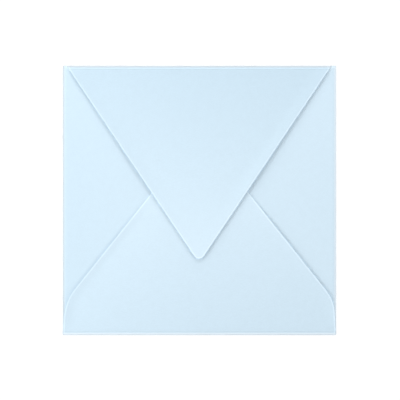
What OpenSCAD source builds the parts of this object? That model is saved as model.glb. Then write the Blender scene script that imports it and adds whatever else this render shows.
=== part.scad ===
// Square greeting-card envelope, folded from one sheet of paper.
// It lies on its plain front panel with the flaps up: a pointed top flap, closed but not stuck
// down, over a bottom flap, which is glued on two side flaps.
// X runs along the top fold, Y points from the bottom fold to the top fold, and Z is up.
// The origin is at the middle of the front panel, on its outer face.

/* [Envelope] */
// Width between the side folds
envelope_w = 165; // [140:0.5:190]
// Height between the bottom fold and the top fold
envelope_h = 162.5; // [140:0.5:190]

/* [Paper] */
// Thickness of the paper
paper_t = 0.15; // [0.1:0.01:0.3]
// Inner radius of a pressed fold
fold_r = 0.22; // [0.15:0.01:0.5]
// Distance from a fold to the crease where its flap has climbed to its level
crease_in = 2.4; // [1.6:0.1:5]
// Radius of that crease, on the underside of the flap
crease_r = 1.5; // [0.5:0.1:4]
// Climb of a side flap from its fold to its level, which opens the empty pocket this much more
pocket_rise = 0.06; // [0.02:0.02:3]
// Gap between flaps that lie on each other, as thick as the dry glue of the seams
layer_gap = 0.05; // [0.03:0.01:0.3]
// Width of the cuts beside the flaps' roots
corner_relief = 0.15; // [0.1:0.05:0.8]

/* [Top flap] */
// Distance from the top fold to the tip
top_reach = 116.2; // [95:0.1:135]
// Distance from a side fold to the flap's slanted edge, along the top fold
top_inset = 2.7; // [1:0.1:3.5]
// Radius of the tip
top_tip_r = 3.4; // [1:0.1:20]

/* [Bottom flap] */
// Distance from the bottom fold to the tip, which the top flap covers
bottom_reach = 113.2; // [95:0.1:130]
// Distance from a side fold to the flap's edge, along the bottom fold
bottom_inset = 0.45; // [0.3:0.05:3]
// Distance from a side fold to the outermost point of a shoulder
shoulder_inset = 1.15; // [0.3:0.05:4]
// Height of the middle of a shoulder's curve above the bottom fold
shoulder_h = 11.2; // [5:0.1:25]
// Radius of the shoulders, between the upright and the slanted edge
shoulder_r = 26; // [5:0.5:40]
// Radius of the hidden tip
bottom_tip_r = 15; // [3:0.5:30]

/* [Side flaps] */
// Gap between the tips of the two side flaps
side_tip_gap = 21; // [8:0.5:40]
// Height of the side flaps' tips above the middle of the envelope
side_tip_rise = 2; // [-5:0.5:10]
// Radius of the side flaps' tips
side_tip_r = 14; // [4:0.5:20]
// Clearance between a side flap's end and the crease of the flap that covers it
side_end_gap = 0.2; // [0.1:0.05:2]
// Distance from the top fold to the upper ends of the side folds, beside the top flap's root
side_top_gap = 0.25; // [0.1:0.05:2]
// Length of the straight end of a side flap, from its fold to the corner
side_shoulder_w = 6; // [5.5:0.5:12]
// Radius of the corner between that end and the slanted edge
side_shoulder_r = 4; // [1:0.5:10]

/* [Seams] */
// Width of the glue line along each slanted edge of the bottom flap
glue_w = 8; // [3:0.5:12]
// Distance from the edge of the bottom flap to the glue line
glue_in = 2; // [1:0.5:6]

/* [Hidden] */

paper_colour = [0.84, 0.93, 0.98];

// Flats in a quarter turn: round an outline's corner, over a fold and over the wider crease
outline_steps = 12;
fold_steps = 8;
crease_steps = 32;

// Cutting shapes run past the folds by this much, so that nothing is cut along a fold's crest
overrun = 1;

half_w = envelope_w / 2;
half_h = envelope_h / 2;
fold_out = fold_r + paper_t;

// Undersides of the side flaps, and of the flaps that lie on them
side_level = paper_t + 2 * fold_r + pocket_rise;
cover_level = side_level + paper_t + layer_gap;

// The top flap leans on the tip of the bottom flap, and runs on straight to its own tip
lean_run = envelope_h - bottom_reach - crease_in;
lean_slope = atan2(paper_t + layer_gap, lean_run);

// Half widths of the flaps at their roots
top_half_w = half_w - top_inset;
bottom_half_w = half_w - bottom_inset;
side_half_w = half_h - crease_in - side_end_gap;

// Beside the top flap's root, a strip of each side flap runs on up along its fold
strip_half_w = half_h - side_top_gap;

// Outlines of the flaps and of a glue line, each as the circles that it runs round.
// A flap's own fold lies on its X axis, and the flap reaches along +Y.
top_tip = [0, top_reach - top_tip_r, top_tip_r];
top_circles = [
    [top_half_w, -overrun, 0],
    [top_half_w, 0, 0],
    top_tip,
    [-top_half_w, 0, 0],
    [-top_half_w, -overrun, 0]
];

// The strip's edge runs along the top flap's, which closes in by this much per length
top_narrowing = tan(tangent_facing([top_half_w, 0, 0], top_tip));

bottom_tip = [0, bottom_reach - bottom_tip_r, bottom_tip_r];
bottom_shoulder = [shoulder_r + shoulder_inset - half_w, shoulder_h, shoulder_r];
bottom_circles = [
    [bottom_half_w, -overrun, 0],
    [bottom_half_w, 0, 0],
    [-bottom_shoulder.x, shoulder_h, shoulder_r],
    bottom_tip,
    bottom_shoulder,
    [-bottom_half_w, 0, 0],
    [-bottom_half_w, -overrun, 0]
];

side_reach = half_w - side_tip_gap / 2;
side_corner_x = side_half_w - side_shoulder_r;
side_circles = [
    [side_half_w, -overrun, 0],
    [side_corner_x, side_shoulder_w, side_shoulder_r],
    [-side_tip_rise, side_reach - side_tip_r, side_tip_r],
    [-side_corner_x, side_shoulder_w, side_shoulder_r],
    [-side_half_w, strip_width(half_h - side_half_w), 0],
    [-strip_half_w, strip_width(side_top_gap), 0],
    [-strip_half_w, -overrun, 0]
];

slant_facing = tangent_facing(bottom_tip, bottom_shoulder);
glue_circles = [
    for (end = [bottom_tip, bottom_shoulder])
        let (middle = rim([end.x, end.y, end.z - glue_in - glue_w / 2], slant_facing))
        [middle.x, middle.y, glue_w / 2]
];

// Width of that strip at a distance below the top fold
function strip_width(below) = top_inset - corner_relief + below * top_narrowing;

// A point at an angle on the rim of a circle [x, y, radius]
function rim(circle, angle) =
    [circle.x + circle.z * cos(angle), circle.y + circle.z * sin(angle)];

// Points along that rim from one angle to another; a radius of 0 gives one point
function arc(circle, from, to, quarter_steps) =
    circle.z == 0
        ? [rim(circle, from)]
        : let (steps = max(1, ceil(quarter_steps * abs(to - from) / 90)))
          [for (i = [0 : steps]) rim(circle, from + (to - from) * i / steps)];

// Direction faced by the tangent from circle a to circle b that keeps both on its left
function tangent_facing(a, b) =
    atan2(b.y - a.y, b.x - a.x) - acos((a.z - b.z) / norm([b.x - a.x, b.y - a.y]));

// Outline that runs anticlockwise round a list of circles
function outline(circles) = [
    for (i = [0 : len(circles) - 1])
        let (
            before = circles[(i + len(circles) - 1) % len(circles)],
            here = circles[i],
            after = circles[(i + 1) % len(circles)],
            from = tangent_facing(before, here),
            turn = (tangent_facing(here, after) - from + 720) % 360
        )
        each arc(here, from, from + turn, outline_steps)
];

// One face of a folded flap in section, at a height above its underside. It leaves the front
// panel, turns over at the fold, climbs to its level at the crease and goes on at a slope.
function flap_face(level, slope, length, above) =
    let (
        fold = [fold_out, fold_out, fold_r + above],
        crease = [crease_in, level - crease_r, crease_r + above],
        climb_facing = (tangent_facing(crease, fold) + 360) % 360,
        end = rim(crease, 90 + slope)
    )
    concat(
        arc(fold, 270, climb_facing, fold_steps),
        arc(crease, climb_facing, 90 + slope, crease_steps),
        [end + length * [cos(slope), sin(slope)]]
    );

function reversed(points) = [for (i = [len(points) - 1 : -1 : 0]) points[i]];

// A flap at its own fold: one bent sheet all along the fold, cut to the flap's outline
module flap(circles, level, slope = 0) {
    side = overrun + max([for (c = circles) abs(c.x) + c.z]);
    reach = overrun + max([for (c = circles) c.y + c.z]);
    top_face = flap_face(level, slope, reach, paper_t);
    underside = flap_face(level, slope, reach, 0);
    intersection() {
        translate([-side, 0, 0])
            rotate([90, 0, 90])
                linear_extrude(2 * side)
                    polygon(concat(top_face, reversed(underside)));
        translate([0, 0, -overrun])
            linear_extrude(reach)
                polygon(outline(circles));
    }
}

// The flat panel, cut back where a fold starts
module front_panel() {
    top_cut = top_half_w + corner_relief;
    side_cut = side_half_w + corner_relief;
    linear_extrude(paper_t)
        difference() {
            square([envelope_w, envelope_h], center = true);
            translate([-top_cut, half_h - fold_out])
                square([2 * top_cut, fold_out + overrun]);
            translate([-half_w - overrun, -half_h - overrun])
                square([envelope_w + 2 * overrun, overrun + fold_out]);
            for (side = [0, 1])
                mirror([side, 0])
                    translate([half_w - fold_out, -side_cut])
                        square([fold_out + overrun, side_cut + half_h + overrun]);
        }
}

module top_flap() {
    translate([0, half_h, 0])
        rotate([0, 0, 180])
            flap(top_circles, cover_level, lean_slope);
}

module bottom_flap() {
    translate([0, -half_h, 0])
        flap(bottom_circles, cover_level);
}

module side_flaps() {
    for (side = [0, 1])
        mirror([side, 0, 0])
            translate([-half_w, 0, 0])
                rotate([0, 0, -90])
                    flap(side_circles, side_level);
}

// Dry glue between the bottom flap and the side flaps, kept within both
module seams() {
    for (side = [0, 1])
        mirror([side, 0, 0])
            translate([0, 0, side_level + paper_t])
                linear_extrude(layer_gap)
                    intersection() {
                        translate([-half_w, 0])
                            rotate(-90)
                                polygon(outline(side_circles));
                        translate([0, -half_h])
                            polygon(outline(glue_circles));
                    }
}

module envelope() {
    color(paper_colour) {
        front_panel();
        side_flaps();
        bottom_flap();
        top_flap();
        seams();
    }
}

envelope();
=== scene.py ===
# Square greeting-card envelope of pale blue paper, lying closed with its flap side up.
# It is one sheet. A flat blank is laid out as a grid, Geometry Nodes fold it along the paths of its four
# folds, and it gets its thickness last.
import math

import bmesh
import bpy
import numpy as np
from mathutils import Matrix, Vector


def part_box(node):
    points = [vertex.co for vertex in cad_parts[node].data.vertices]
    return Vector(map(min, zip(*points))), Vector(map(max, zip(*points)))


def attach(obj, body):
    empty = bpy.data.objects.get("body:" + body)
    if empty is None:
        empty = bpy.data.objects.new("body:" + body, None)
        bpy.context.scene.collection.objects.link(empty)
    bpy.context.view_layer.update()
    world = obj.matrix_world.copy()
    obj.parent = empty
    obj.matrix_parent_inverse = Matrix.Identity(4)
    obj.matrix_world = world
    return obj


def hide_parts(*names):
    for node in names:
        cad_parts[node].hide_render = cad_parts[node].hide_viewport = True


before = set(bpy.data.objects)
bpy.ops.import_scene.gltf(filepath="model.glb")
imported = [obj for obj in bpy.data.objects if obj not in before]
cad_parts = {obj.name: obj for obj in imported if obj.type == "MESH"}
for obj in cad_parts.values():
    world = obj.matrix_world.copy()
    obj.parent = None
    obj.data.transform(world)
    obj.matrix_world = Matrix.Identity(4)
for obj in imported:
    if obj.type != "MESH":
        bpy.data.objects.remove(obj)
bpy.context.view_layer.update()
print("frame loaded")

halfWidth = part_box("envelope")[1].x        # from the middle of the envelope to its folds
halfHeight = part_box("envelope")[1].y
quarter = math.pi / 2

# The folded sheet, in metres. A flap's reach and insets start at its own fold.
sheet = {
    "paper": 0.00015,          # thickness
    "foldInside": 0.00022,     # inner radius of a pressed fold
    "creaseIn": 0.0024,        # from a fold to where its flap has climbed to its level
    "creaseRound": 0.0015,
    "pocketRise": 0.00006,     # what the empty pocket opens more than the folds do
    "layerGap": 0.00005,       # dry glue, or air, between two flaps
    "relief": 0.00015,         # cut beside a flap's root
    "topReach": 0.1162,
    "topInset": 0.0027,
    "topTip": 0.0034,          # radius of the point
    "bottomReach": 0.1132,
    "bottomInset": 0.00045,
    "shoulderInset": 0.00115,  # of the outermost point of a shoulder
    "shoulderUp": 0.0112,
    "shoulderRound": 0.026,
    "bottomTip": 0.015,
    "sideGap": 0.021,          # between the tips of the side flaps
    "sideTipRise": 0.002,
    "sideTip": 0.014,
    "sideEndGap": 0.0002,      # from a side flap's end to the crease that covers it
    "sideTopGap": 0.00025,     # from the top fold to the upper ends of the side folds
    "sideShoulder": 0.006,
    "sideCorner": 0.004,
    "step": 0.0028,            # size of a mesh cell on the open paper
    "foldSteps": 12,
    "creaseSteps": 8,
    "cornerSteps": 12,         # per quarter turn of an outline
    "leastSteps": 2,           # in its shortest arc
    "rowGap": 0.00005,         # rows of the mesh lie further apart than this
    "same": 0.0000015,         # points closer than this are one point
    "farOff": 0.028,           # given where no crease or cut is near
    "sharpFrom": math.radians(45),  # edges from this angle on aren't shaded smooth
}

# How the folded paper departs from dead true. A flap lies a hair to one side, along X, and its free edges
# lift over a width. Both come on from Begin to Full and the lift dies out from Fade to End, which are
# distances from the fold along the paper.
relax = {
    "topFlap": {
        "Aside": -0.00027, "Aside Begin": 0.0, "Aside Full": 0.007,
        "Lift": 0.00022, "Lift Width": 0.007,
        "Lift Begin": 0.001, "Lift Full": 0.007, "Lift Fade": 0.06, "Lift End": 0.118,
    },
    "bottomFlap": {
        "Aside": 0.0004, "Aside Begin": 0.01, "Aside Full": 0.02,
        "Lift": 0.00022, "Lift Width": 0.0045,
        "Lift Begin": 0.002, "Lift Full": 0.012, "Lift Fade": 0.06, "Lift End": 0.088,
    },
    "Wave": 0.00004,
    "Wave Scale": 9.0,
    "Wave Fade": 0.03,         # the wave dies out this far in from the folds
}

foldOut = sheet["foldInside"] + sheet["paper"]
sideLevel = sheet["paper"] + 2 * sheet["foldInside"] + sheet["pocketRise"]
coverLevel = sideLevel + sheet["paper"] + sheet["layerGap"]
leanRun = 2 * halfHeight - sheet["bottomReach"] - sheet["creaseIn"]
leanSlope = math.atan2(sheet["paper"] + sheet["layerGap"], leanRun)
topRoot = halfWidth - sheet["topInset"]
bottomRoot = halfWidth - sheet["bottomInset"]
sideRoot = halfHeight - sheet["creaseIn"] - sheet["sideEndGap"]
topCut = topRoot + sheet["relief"]
sideCut = sideRoot + sheet["relief"]
stripEnd = halfHeight - sheet["sideTopGap"]


def arc(circle, start, end, steps):
    x, y, radius = circle
    angles = [start + (end - start) * i / steps for i in range(steps + 1)]
    return [(x + radius * math.cos(a), y + radius * math.sin(a)) for a in angles]


def facing(a, b):  # which way the tangent from circle a to circle b faces, with both on its left
    along = math.atan2(b[1] - a[1], b[0] - a[0])
    return along - math.acos((a[2] - b[2]) / math.dist(a[:2], b[:2]))


def foldPath(level, slope):  # middle of the paper in section, as (distance in from the fold, height)
    middle = sheet["paper"] / 2
    fold = (foldOut, foldOut, sheet["foldInside"] + middle)
    crease = (sheet["creaseIn"], level - sheet["creaseRound"], sheet["creaseRound"] + middle)
    climb = facing(crease, fold) % math.tau
    return (
        arc(fold, 3 * quarter, climb, sheet["foldSteps"])
        + arc(crease, climb, quarter + slope, sheet["creaseSteps"])
    )


def flapEdge(circles):  # right-hand edge, round circles [x, in, radius], up to the tip's highest point
    points = [circles[0][:2]]
    for before, here, after in zip(circles, circles[1:], circles[2:] + [None]):
        start = facing(before, here)
        end = facing(here, after) if after else quarter
        steps = math.ceil(sheet["cornerSteps"] * (end - start) / quarter)
        points += arc(here, start, end, max(sheet["leastSteps"], steps))
    return points


def flapShape(name, turn, level, slope, circles, marks=()):  # marks: more distances in that get a row
    tipX, tipIn, tipRadius = circles[-1]
    right = np.array(flapEdge(circles))
    left = np.array(flapEdge([*circles[:-1], [-tipX, tipIn, tipRadius]])) * (-1, 1)
    path = foldPath(level, slope)
    lastIn, lastUp = path[-1]
    foldRows = len(path)
    stops = [lastIn]
    for stop in sorted([*right[:, 1], *left[:, 1], *marks]):
        if stop > stops[-1] + sheet["rowGap"]:
            stops.append(stop)
    stops[-1] = tipIn + tipRadius
    for low, high in zip(stops, stops[1:]):
        count = math.ceil((high - low) / sheet["step"])
        for i in range(1, count + 1):
            inward = low + (high - low) * i / count
            path.append((inward, lastUp + (inward - lastIn) * math.tan(slope)))
    run = np.concatenate([[0], np.cumsum(np.linalg.norm(np.diff(np.array(path), axis=0), axis=1))])
    return {
        "name": name,
        "turn": turn,
        "edge": halfWidth if turn % 2 else halfHeight,     # from the middle of the envelope to the fold
        "left": left,                                      # the outline's halves, from the fold to the tip
        "right": right,
        "cuts": [left, right],
        "path": path,                                      # a point for each row of the mesh
        "run": run,                                        # how far along the paper each of them is
        "creaseRun": run[foldRows - 1],
    }


def stripWidth(below):  # of the strip that a side flap has beside the top flap's root, below the top fold
    narrowing = math.tan(facing(topCircles[0], topCircles[1]))
    return sheet["topInset"] - sheet["relief"] + below * narrowing


def sideShape(name, turn, top):  # top: which way along its fold the top of the envelope is, 1 or -1
    reach = halfWidth - sheet["sideGap"] / 2
    wide, narrow = stripWidth(halfHeight - sideRoot), stripWidth(sheet["sideTopGap"])
    flap = flapShape(name, turn, sideLevel, 0, [
        [sideRoot, 0, 0],
        [sideRoot - sheet["sideCorner"], sheet["sideShoulder"], sheet["sideCorner"]],
        [top * sheet["sideTipRise"], reach - sheet["sideTip"], sheet["sideTip"]],
    ], marks=(narrow, wide))
    inner = np.array([(sideRoot, 0), (sideRoot, wide)]) * (top, 1)
    outer = np.array([(stripEnd, 0), (stripEnd, narrow), (sideRoot, wide)]) * (top, 1)
    upper, lower = ("right", "left") if top > 0 else ("left", "right")
    flap["cuts"] = [flap[lower], np.array([*outer, *flap[upper][1:]])]
    rows = sum(inward < wide + sheet["same"] for inward, up in flap["path"])
    flap["strip"] = {**flap, lower: inner, upper: outer, "path": flap["path"][:rows]}
    return flap


topCircles = [
    [topRoot, 0, 0],
    [0, sheet["topReach"] - sheet["topTip"], sheet["topTip"]],
]
shoulderOut = halfWidth - sheet["shoulderInset"] - sheet["shoulderRound"]
bottomCircles = [
    [bottomRoot, 0, 0],
    [shoulderOut, sheet["shoulderUp"], sheet["shoulderRound"]],
    [0, sheet["bottomReach"] - sheet["bottomTip"], sheet["bottomTip"]],
]

# By quarter turns from the top one, anticlockwise
flaps = [
    flapShape("topFlap", 0, coverLevel, leanSlope, topCircles),
    sideShape("leftFlap", 1, 1),
    flapShape("bottomFlap", 2, coverLevel, 0, bottomCircles),
    sideShape("rightFlap", 3, -1),
]


def edgeAt(line, inward):
    return float(np.interp(inward, line[:, 1], line[:, 0]))


def distanceTo(line, point):
    a, b = line[:-1], line[1:]
    along = np.clip(((point - a) * (b - a)).sum(1) / ((b - a) ** 2).sum(1), 0, 1)
    return float(np.linalg.norm(point - a - along[:, None] * (b - a), axis=1).min())


def turned(x, y, turn):  # by quarter turns
    cosine, sine = ((1, 0), (0, 1), (-1, 0), (0, -1))[turn % 4]
    return x * cosine - y * sine, x * sine + y * cosine


def gridLines(inner, marks):
    count = 2 * round(inner / sheet["step"])  # even, so that a line runs down the middle
    return sorted([inner * (2 * i / count - 1) for i in range(count + 1)] + marks)


def addPoint(mesh, x, y, **values):
    vertex = mesh.verts.new((x, y, sheet["paper"] / 2))
    for name, value in values.items():
        layers = mesh.verts.layers.int if name == "flap" else mesh.verts.layers.float
        vertex[layers[name]] = value
    return vertex


def layPanel(mesh):  # the front panel, cut back to where its folds start
    farOff = sheet["farOff"]
    foldX, foldY = halfWidth - foldOut, halfHeight - foldOut
    topEnd, bottomEnd = (edgeAt(flaps[number]["right"], foldOut) for number in (0, 2))
    ends = (topCut, bottomEnd, foldX, halfWidth)
    columns = gridLines(topEnd, [side * end for side in (-1, 1) for end in ends])
    rows = gridLines(sideRoot, [-foldY, -sideCut, foldY, stripEnd, halfHeight])
    points = {}

    def fromCut(x, y):  # beside a flap's root the panel is cut
        if y >= foldY and abs(x) >= topCut:
            return halfHeight - y
        if y <= -sideCut and abs(x) >= foldX:
            return halfWidth - abs(x)
        return farOff

    def at(i, j):
        if (i, j) not in points:
            x, y = columns[i], rows[j]
            run = min(0, max(abs(x) - foldX, abs(y) - foldY))  # below 0 on the panel
            points[i, j] = addPoint(mesh, x, y, run=run, fromCrease=-farOff, fromEdge=fromCut(x, y))
        return points[i, j]

    for i in range(len(columns) - 1):
        for j in range(len(rows) - 1):
            x = (columns[i] + columns[i + 1]) / 2
            y = (rows[j] + rows[j + 1]) / 2
            cutTop = y > foldY and abs(x) < topCut
            cutSide = abs(x) > foldX and y > -sideCut
            if not cutTop and not cutSide:
                mesh.faces.new([at(i, j), at(i + 1, j), at(i + 1, j + 1), at(i, j + 1)])
    return list(points.values())


def layFlap(mesh, panel, number, flap):  # rows of points outwards from the panel's own
    start = flap["edge"] - foldOut
    left, right = (edgeAt(flap[side], foldOut) for side in ("left", "right"))
    tiny = sheet["same"]
    root = []
    for vertex in panel:
        x, y = turned(vertex.co.x, vertex.co.y, -flap["turn"])
        if abs(y - start) < tiny and left - tiny < x < right + tiny:
            root.append((x, vertex))
    root.sort(key=lambda pair: pair[0])
    shares = [(x - left) / (right - left) for x, vertex in root]
    row = [vertex for x, vertex in root]
    for (inward, up), run in zip(flap["path"][1:], flap["run"][1:]):
        low, high = edgeAt(flap["left"], inward), edgeAt(flap["right"], inward)
        isTip = high - low < tiny
        places = [low] if isTip else [low + (high - low) * share for share in shares]
        following = []
        for x in places:
            fromEdge = min(distanceTo(line, np.array((x, inward))) for line in flap["cuts"])
            following.append(addPoint(
                mesh, *turned(x, start + run, flap["turn"]),
                flap=number, run=run, fromCrease=run - flap["creaseRun"], fromEdge=fromEdge,
            ))
        for c in range(len(row) - 1):
            far = [following[0]] if isTip else [following[c + 1], following[c]]
            mesh.faces.new([row[c], row[c + 1], *far])
        row = following
    if "strip" in flap:
        layFlap(mesh, panel, number, flap["strip"])


def layBlank():
    mesh = bmesh.new()
    mesh.verts.layers.int.new("flap")
    for name in ("run", "fromCrease", "fromEdge"):
        mesh.verts.layers.float.new(name)
    panel = layPanel(mesh)
    for number, flap in enumerate(flaps, 1):
        layFlap(mesh, panel, number, flap)
    bmesh.ops.remove_doubles(mesh, verts=mesh.verts, dist=sheet["same"])
    data = bpy.data.meshes.new("blank")
    mesh.to_mesh(data)
    mesh.free()
    blank = bpy.data.objects.new("blank", data)
    bpy.context.scene.collection.objects.link(blank)
    return blank


def pathCurve(flap):
    curve = bpy.data.curves.new(flap["name"] + "Path", "CURVE")
    curve.dimensions = "3D"
    spline = curve.splines.new("POLY")
    spline.points.add(len(flap["path"]) - 1)
    for spot, (inward, up) in zip(spline.points, flap["path"]):
        spot.co = (0, -inward, up, 1)
    holder = bpy.data.objects.new(curve.name, curve)
    bpy.context.scene.collection.objects.link(holder)
    return holder


def node(tree, kind, inputs=None, **settings):  # inputs: by socket, each a value or another node's output
    made = tree.nodes.new(kind)
    for name, value in settings.items():
        setattr(made, name, value)
    for name, value in (inputs or {}).items():
        if isinstance(value, bpy.types.NodeSocket):
            tree.links.new(value, made.inputs[name])
        else:
            made.inputs[name].default_value = value
    return made


def calc(tree, operation, *values):
    return node(tree, "ShaderNodeMath", dict(enumerate(values)), operation=operation).outputs[0]


def ramp(tree, value, low, high, toLow=0.0, toHigh=1.0):  # smooth step between two values
    given = {"Value": value, "From Min": low, "From Max": high, "To Min": toLow, "To Max": toHigh}
    return node(tree, "ShaderNodeMapRange", given, interpolation_type="SMOOTHSTEP").outputs[0]


def named(tree, name, kind="FLOAT"):
    return node(tree, "GeometryNodeInputNamedAttribute", {"Name": name}, data_type=kind).outputs[0]


def onFlap(tree, number, operation="EQUAL"):
    given = {2: named(tree, "flap", "INT"), 3: number}  # the node's sockets for whole numbers
    return node(tree, "FunctionNodeCompare", given, data_type="INT", operation=operation).outputs[0]


def newTree(name, inputs, output):
    tree = bpy.data.node_groups.new(name, "GeometryNodeTree")
    for label, kind in inputs.items():
        tree.interface.new_socket(label, in_out="INPUT", socket_type="NodeSocket" + kind)
    tree.interface.new_socket(output, in_out="OUTPUT", socket_type="NodeSocketGeometry")
    return tree, tree.nodes.new("NodeGroupInput").outputs, tree.nodes.new("NodeGroupOutput").inputs


def foldTree():  # bends one flap of the blank along the path of its fold
    tree, given, result = newTree("foldFlap", {
        "Blank": "Geometry", "Flap": "Int", "Turn": "Float", "Edge": "Float", "Path": "Object",
    }, "Folded")
    place = node(tree, "GeometryNodeInputPosition").outputs[0]
    back = calc(tree, "MULTIPLY", given["Turn"], -1.0)
    flat = node(tree, "ShaderNodeVectorRotate", {"Vector": place, "Angle": back}, rotation_type="Z_AXIS")
    across = node(tree, "ShaderNodeSeparateXYZ", {0: flat.outputs[0]}).outputs["X"]
    path = node(tree, "GeometryNodeObjectInfo", {"Object": given["Path"]}).outputs["Geometry"]
    onPath = node(tree, "GeometryNodeSampleCurve", {"Curves": path}, mode="LENGTH")
    tree.links.new(named(tree, "run"), onPath.inputs["Length"])
    section = node(tree, "ShaderNodeSeparateXYZ", {0: onPath.outputs["Position"]}).outputs
    outward = calc(tree, "ADD", given["Edge"], section["Y"])
    bent = node(tree, "ShaderNodeCombineXYZ", {"X": across, "Y": outward, "Z": section["Z"]}).outputs[0]
    turn = {"Vector": bent, "Angle": given["Turn"]}
    home = node(tree, "ShaderNodeVectorRotate", turn, rotation_type="Z_AXIS")
    moved = node(tree, "GeometryNodeSetPosition", {
        "Geometry": given["Blank"], "Selection": onFlap(tree, given["Flap"]), "Position": home.outputs[0],
    })
    tree.links.new(moved.outputs[0], result[0])
    return tree


def relaxTree():  # sets one flap aside by a hair and lets its free edges stand off a little
    inputs = {"Sheet": "Geometry", "Flap": "Int"}
    inputs.update({label: "Float" for label in relax["topFlap"]})
    tree, given, result = newTree("relaxFlap", inputs, "Relaxed")
    run = named(tree, "run")
    shift = ramp(tree, run, given["Aside Begin"], given["Aside Full"])
    aside = calc(tree, "MULTIPLY", shift, given["Aside"])
    share = ramp(tree, named(tree, "fromEdge"), 0.0, given["Lift Width"], 1.0, 0.0)
    share = calc(tree, "MULTIPLY", share, ramp(tree, run, given["Lift Begin"], given["Lift Full"]))
    share = calc(tree, "MULTIPLY", share, ramp(tree, run, given["Lift Fade"], given["Lift End"], 1.0, 0.0))
    up = calc(tree, "MULTIPLY", share, given["Lift"])
    moved = node(tree, "GeometryNodeSetPosition", {
        "Geometry": given["Sheet"], "Selection": onFlap(tree, given["Flap"]),
        "Offset": node(tree, "ShaderNodeCombineXYZ", {"X": aside, "Z": up}).outputs[0],
    })
    tree.links.new(moved.outputs[0], result[0])
    return tree


def waveTree():  # slow waves of the paper, the same for flaps that lie on each other
    tree, given, result = newTree("waveSheet", {
        "Sheet": "Geometry", "Half Width": "Float", "Half Height": "Float",
        "Wave": "Float", "Wave Scale": "Float", "Wave Fade": "Float",
    }, "Waved")
    spot = node(tree, "GeometryNodeInputPosition").outputs[0]
    place = node(tree, "ShaderNodeSeparateXYZ", {0: spot}).outputs
    besideX = calc(tree, "SUBTRACT", given["Half Width"], calc(tree, "ABSOLUTE", place["X"]))
    besideY = calc(tree, "SUBTRACT", given["Half Height"], calc(tree, "ABSOLUTE", place["Y"]))
    share = ramp(tree, calc(tree, "MINIMUM", besideX, besideY), 0.0, given["Wave Fade"])
    plan = node(tree, "ShaderNodeCombineXYZ", {"X": place["X"], "Y": place["Y"]}).outputs[0]
    swell = node(tree, "ShaderNodeTexNoise", {"Vector": plan, "Scale": given["Wave Scale"], "Detail": 1.0})
    swing = calc(tree, "MULTIPLY_ADD", swell.outputs[0], 2.0, -1.0)  # from -1 to 1
    up = calc(tree, "MULTIPLY", calc(tree, "MULTIPLY", swing, given["Wave"]), share)
    moved = node(tree, "GeometryNodeSetPosition", {
        "Geometry": given["Sheet"], "Selection": onFlap(tree, 0, "GREATER_THAN"),
        "Offset": node(tree, "ShaderNodeCombineXYZ", {"Z": up}).outputs[0],
    })
    tree.links.new(moved.outputs[0], result[0])
    return tree


def sheetTree():  # the whole sheet: four folds, the relaxed flaps, the waves
    inputs = {"Blank": "Geometry", "Half Width": "Float", "Half Height": "Float"}
    inputs.update({flap["name"]: "Object" for flap in flaps})
    inputs.update({label: "Float" for label in relax if label.startswith("Wave")})
    tree, given, result = newTree("foldedSheet", {**inputs, "Paper": "Material"}, "Sheet")
    fold, settle = foldTree(), relaxTree()
    made = given["Blank"]
    for number, flap in enumerate(flaps, 1):
        made = node(tree, "GeometryNodeGroup", {
            "Blank": made, "Flap": number, "Turn": flap["turn"] * quarter,
            "Edge": given["Half Width" if flap["turn"] % 2 else "Half Height"], "Path": given[flap["name"]],
        }, node_tree=fold).outputs[0]
    for number, flap in enumerate(flaps, 1):
        if flap["name"] in relax:
            values = {"Sheet": made, "Flap": number, **relax[flap["name"]]}
            made = node(tree, "GeometryNodeGroup", values, node_tree=settle).outputs[0]
    wave = {label: given[label] for label in given.keys() if label.startswith(("Half", "Wave"))}
    made = node(tree, "GeometryNodeGroup", {"Sheet": made, **wave}, node_tree=waveTree()).outputs[0]
    made = node(tree, "GeometryNodeSetShadeSmooth", {"Geometry": made}).outputs[0]
    made = node(tree, "GeometryNodeRealizeInstances", {"Geometry": made}).outputs[0]
    made = node(tree, "GeometryNodeSetMaterial", {"Geometry": made, "Material": given["Paper"]}).outputs[0]
    tree.links.new(made, result[0])
    return tree


def foldSheet(paper):
    blank = layBlank()
    print("blank laid out:", len(blank.data.polygons), "faces")
    paths = {flap["name"]: pathCurve(flap) for flap in flaps}
    folding = blank.modifiers.new("folding", "NODES")
    folding.node_group = sheetTree()
    values = {"Half Width": halfWidth, "Half Height": halfHeight, "Paper": paper, **paths}
    values.update({label: relax[label] for label in relax if label.startswith("Wave")})
    for label, value in values.items():
        folding[folding.node_group.interface.items_tree[label].identifier] = value
    thickness = blank.modifiers.new("thickness", "SOLIDIFY")
    thickness.thickness = sheet["paper"]
    thickness.offset = 0
    thickness.use_even_offset = True
    thickness.use_quality_normals = True
    bpy.context.view_layer.update()
    folded = bpy.data.meshes.new_from_object(blank.evaluated_get(bpy.context.evaluated_depsgraph_get()))
    folded.name = "foldedSheet"
    folded.set_sharp_from_angle(angle=sheet["sharpFrom"])
    for helper in (blank, *paths.values()):
        bpy.data.objects.remove(helper)
    piece = bpy.data.objects.new("foldedSheet", folded)
    bpy.context.scene.collection.objects.link(piece)
    print("sheet folded:", len(folded.polygons), "faces")
    return piece


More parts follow.
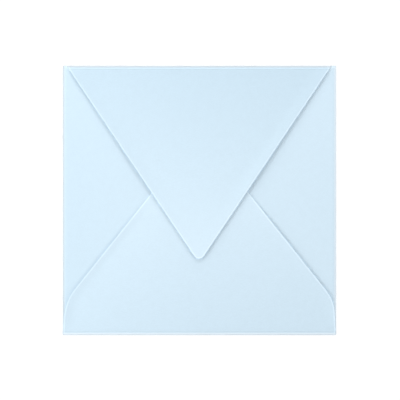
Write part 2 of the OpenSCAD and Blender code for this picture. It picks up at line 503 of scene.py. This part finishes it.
# The paper: dyed all through, soft and matt, lighter where it is cut and greyer over its stretched folds.
# What differs from flap to flap goes by the flap's number, 0 for the front panel.
# Its colour also holds painted light and shade: highlights along cuts and folds, shade over folds and
# pressed lines, shading across each flap.
finish = {
    "dye": (0.645, 0.801, 0.914),
    "paintedFlapShade": {0: 0.0, 1: -0.054, 2: -0.02, 3: -0.007, 4: 0.025},    # painted shading: white added to the dye, or taken from it where below 0, at a flap's fold
    "paintedFlapShadeSlope": {1: 1.04, 2: 0.71, 3: 0.64},                           # and more of that painted shading per metre on to its tip
    "cutPaleAndHighlight": 0.11,                    # white added along a cut edge: lighter cut fibres and a painted highlight
    "cutBand": (0.0004, 0.00095),       # full and gone, in from a cut edge
    "crest": (0.69, 0.78, 0.85),        # outside of a fold: greyer where the fibres are stretched, and painted shade over the rounded fold
    # painted light and shade over each flap's fold crest, darker where the lights hit it more
    "paintedCrestShade": {0: 1.0, 1: 0.82, 2: 0.84, 3: 1.03, 4: 1.10},
    "crestBand": (0.0012, 0.0023),      # full and gone, along the paper from where it starts to fold
    "crestRise": 0.0009,                # over this much of the front panel it comes on
    "paintedRidgeShade": 0.28,                        # painted shade on the outermost line of a fold
    "paintedRidgeShadeBand": (0.0, 0.0003, 0.0006, 0.0009),                       # begins, full, fades, gone
    "paintedFoldHighlight": {1: -0.03, 2: 0.06, 3: 0.30, 4: -0.01},                # painted highlight just behind the crest, painted shade where below 0
    "paintedFoldHighlightBand": (0.0009, 0.0014, 0.0017, 0.0024),
    "paintedScoreShade": {1: 0.10, 3: 0.05},        # painted shade in the pressed line behind a fold's crease
    "paintedScoreShadeBand": 0.0004,                # half its width
    "roughness": 0.88,
    "specular": 0.25,
    "noiseSpan": (0.3, 0.7),            # the noise itself lies between these
    # noise as scale, detail and swing, or depth in metres
    "clouds": (300.0, 2.0, 0.006),
    "fibres": (900.0, 4.0, 0.016),
    "grain": (1500.0, 3.0, 0.00002),
    "grainStrength": 0.2,
    "fibreLie": (1.0, 4.0, 4.0),        # fibres lie along X, so they are this much finer across it
}


def mixColour(tree, share, a, b):  # by the numbers of the node's sockets for colours
    return node(tree, "ShaderNodeMix", {0: share, 6: a, 7: b}, data_type="RGBA").outputs[2]


def surfaceValue(tree, name):
    return node(tree, "ShaderNodeAttribute", attribute_name=name).outputs["Fac"]


def noise(tree, place, scale, detail):
    given = {"Vector": place, "Scale": scale, "Detail": detail}
    return node(tree, "ShaderNodeTexNoise", given).outputs[0]


def mottle(tree, place, scale, detail, swing):  # around 1
    return ramp(tree, noise(tree, place, scale, detail), *finish["noiseSpan"], 1 - swing, 1 + swing)


def byFlap(tree, values):
    total = 0.0
    for number, value in values.items():
        here = calc(tree, "COMPARE", surfaceValue(tree, "flap"), float(number))
        total = calc(tree, "ADD", total, calc(tree, "MULTIPLY", here, value))
    return total


def band(tree, run, begin, full, fade, end):  # rises and falls again along the paper
    return calc(tree, "MULTIPLY", ramp(tree, run, begin, full), ramp(tree, run, fade, end, 1.0, 0.0))


def paintedLightAndPaleCuts(tree, run):  # white over the dye: painted shading of each flap, a painted fold highlight, and lighter cut edges with a painted highlight
    # painted highlight just behind a fold's crest, painted shade where below 0
    paintedFoldHighlight = calc(tree, "MULTIPLY", band(tree, run, *finish["paintedFoldHighlightBand"]), byFlap(tree, finish["paintedFoldHighlight"]))
    # painted shading across each flap, growing from its fold on to its tip
    inward = calc(tree, "MULTIPLY", run, byFlap(tree, finish["paintedFlapShadeSlope"]))
    # lighter cut fibres and a painted highlight along cut edges
    cut = ramp(tree, surfaceValue(tree, "fromEdge"), *finish["cutBand"], finish["cutPaleAndHighlight"], 0.0)
    total = calc(tree, "ADD", byFlap(tree, finish["paintedFlapShade"]), inward)
    return calc(tree, "ADD", calc(tree, "ADD", total, paintedFoldHighlight), cut)


def paintedCrestShade(tree, run):  # painted light and shade over a fold's crest, less the painted shade on its outermost line
    paintedRidgeShade = calc(tree, "MULTIPLY", band(tree, run, *finish["paintedRidgeShadeBand"]), finish["paintedRidgeShade"])
    return calc(tree, "MULTIPLY", byFlap(tree, finish["paintedCrestShade"]), calc(tree, "SUBTRACT", 1.0, paintedRidgeShade))


def paintedScoreShadeKept(tree):  # painted shade in a pressed line, as the share of the colour kept
    offLine = calc(tree, "ABSOLUTE", surfaceValue(tree, "fromCrease"))
    line = ramp(tree, offLine, 0.0, finish["paintedScoreShadeBand"], 1.0, 0.0)
    return calc(tree, "SUBTRACT", 1.0, calc(tree, "MULTIPLY", line, byFlap(tree, finish["paintedScoreShade"])))


def scaled(tree, colour, share):
    return node(tree, "ShaderNodeVectorMath", {0: colour, "Scale": share}, operation="SCALE").outputs[0]


def makePaper():
    paper = bpy.data.materials.new("wovePaper")
    paper.use_nodes = True
    tree = paper.node_tree
    shader = tree.nodes["Principled BSDF"]
    shader.inputs["Roughness"].default_value = finish["roughness"]
    shader.inputs["Specular IOR Level"].default_value = finish["specular"]
    run = surfaceValue(tree, "run")
    colour = node(
        tree, "ShaderNodeVectorMath", {0: finish["dye"], 1: paintedLightAndPaleCuts(tree, run)}, operation="ADD"
    ).outputs[0]
    # the fold's outside: greyer stretched fibres and painted shade
    overFold = ramp(tree, run, -finish["crestRise"], 0.0)
    overFold = calc(tree, "MULTIPLY", overFold, ramp(tree, run, *finish["crestBand"], 1.0, 0.0))
    crest = scaled(tree, finish["crest"], paintedCrestShade(tree, run))
    colour = mixColour(tree, overFold, colour, crest)
    place = node(tree, "ShaderNodeTexCoord").outputs["Object"]
    lying = node(tree, "ShaderNodeMapping", {"Vector": place, "Scale": finish["fibreLie"]}).outputs[0]
    # random mottle, darkened by the painted shade of the pressed line
    mottleAndScoreShade = calc(tree, "MULTIPLY", mottle(tree, place, *finish["clouds"]), paintedScoreShadeKept(tree))
    mottleAndScoreShade = calc(tree, "MULTIPLY", mottleAndScoreShade, mottle(tree, lying, *finish["fibres"]))
    tree.links.new(scaled(tree, colour, mottleAndScoreShade), shader.inputs["Base Color"])
    *grain, depth = finish["grain"]
    bump = node(tree, "ShaderNodeBump", {
        "Height": noise(tree, lying, *grain), "Strength": finish["grainStrength"], "Distance": depth,
    })
    tree.links.new(bump.outputs[0], shader.inputs["Normal"])
    return paper


piece = foldSheet(makePaper())
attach(piece, "root")
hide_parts("envelope")
print("envelope finished")

# The studio: a glowing white table, four long soft boxes low around it and a soft fill from above
studio = {
    "table": 3.0,
    "tableDrop": 0.00005,               # a hair below the paper
    "tableWhite": 0.1,
    "tableRoughness": 0.9,
    "glow": 0.96,
    "fill": 0.374,
    "long": 1.0,                        # a box's length and height, as shares of its distance
    "tall": 0.27,
    # bearing and rise in degrees, distance, and share of the light of a white that renders at 1
    "boxes": {
        "leftBox": (180, 9.5, 0.62, 0.26),
        "upperBox": (90, 9.5, 0.7, 0.21),
        "rightBox": (0, 14, 1.4, 0.16),
        "lowerBox": (270, 14, 1.4, 0.15),
    },
}


def makeTable():
    size = studio["table"]
    data = bpy.data.meshes.new("table")
    corners = [(x * size, y * size, -studio["tableDrop"]) for x, y in ((-1, -1), (1, -1), (1, 1), (-1, 1))]
    data.from_pydata(corners, [], [(0, 1, 2, 3)])
    table = bpy.data.objects.new("table", data)
    bpy.context.scene.collection.objects.link(table)
    white = bpy.data.materials.new("whiteAcrylic")
    white.use_nodes = True
    shader = white.node_tree.nodes["Principled BSDF"]
    shader.inputs["Base Color"].default_value = (*[studio["tableWhite"]] * 3, 1)
    shader.inputs["Roughness"].default_value = studio["tableRoughness"]
    shader.inputs["Specular IOR Level"].default_value = 0
    shader.inputs["Emission Color"].default_value = (1, 1, 1, 1)
    shader.inputs["Emission Strength"].default_value = studio["glow"]
    data.materials.append(white)


def makeLights():
    for name, (bearing, rise, away, share) in studio["boxes"].items():
        bearing, rise = math.radians(bearing), math.radians(rise)
        light = bpy.data.lights.new(name, "AREA")
        light.shape = "RECTANGLE"
        light.size = studio["long"] * away
        light.size_y = studio["tall"] * away
        light.energy = share * (math.pi * away) ** 2 / math.sin(rise)  # watts for that share on the table
        box = bpy.data.objects.new(name, light)
        box.location = away * Vector(
            (math.cos(bearing) * math.cos(rise), math.sin(bearing) * math.cos(rise), math.sin(rise))
        )
        box.rotation_euler = (-box.location).to_track_quat("-Z", "Y").to_euler()
        box.visible_camera = False
        bpy.context.scene.collection.objects.link(box)
    world = bpy.data.worlds.new("fill")
    world.use_nodes = True
    world.node_tree.nodes["Background"].inputs["Color"].default_value = (1, 1, 1, 1)
    world.node_tree.nodes["Background"].inputs["Strength"].default_value = studio["fill"]
    bpy.context.scene.world = world
    bpy.context.scene.view_settings.view_transform = "Standard"


# The camera looks straight down. The photograph is 400 pixels square, 0.6026 mm to a pixel.
shot = {
    "lens": 100,
    "sensor": 36,
    "frameWide": 0.24104,
    "centre": (0.00033, 0.00027),       # of the frame, from the middle of the envelope
    "near": 0.01,                       # what is seen, from the camera
    "far": 60.0,
}


def makeCamera():
    data = bpy.data.cameras.new("above")
    data.lens = shot["lens"]
    data.sensor_width = shot["sensor"]
    data.clip_start = shot["near"]
    data.clip_end = shot["far"]
    camera = bpy.data.objects.new("above", data)
    high = shot["frameWide"] * shot["lens"] / shot["sensor"]
    camera.location = (*shot["centre"], high + foldOut)  # its width is measured at the height of the folds
    bpy.context.scene.collection.objects.link(camera)
    bpy.context.scene.camera = camera


makeTable()
makeLights()
makeCamera()
print("studio ready")
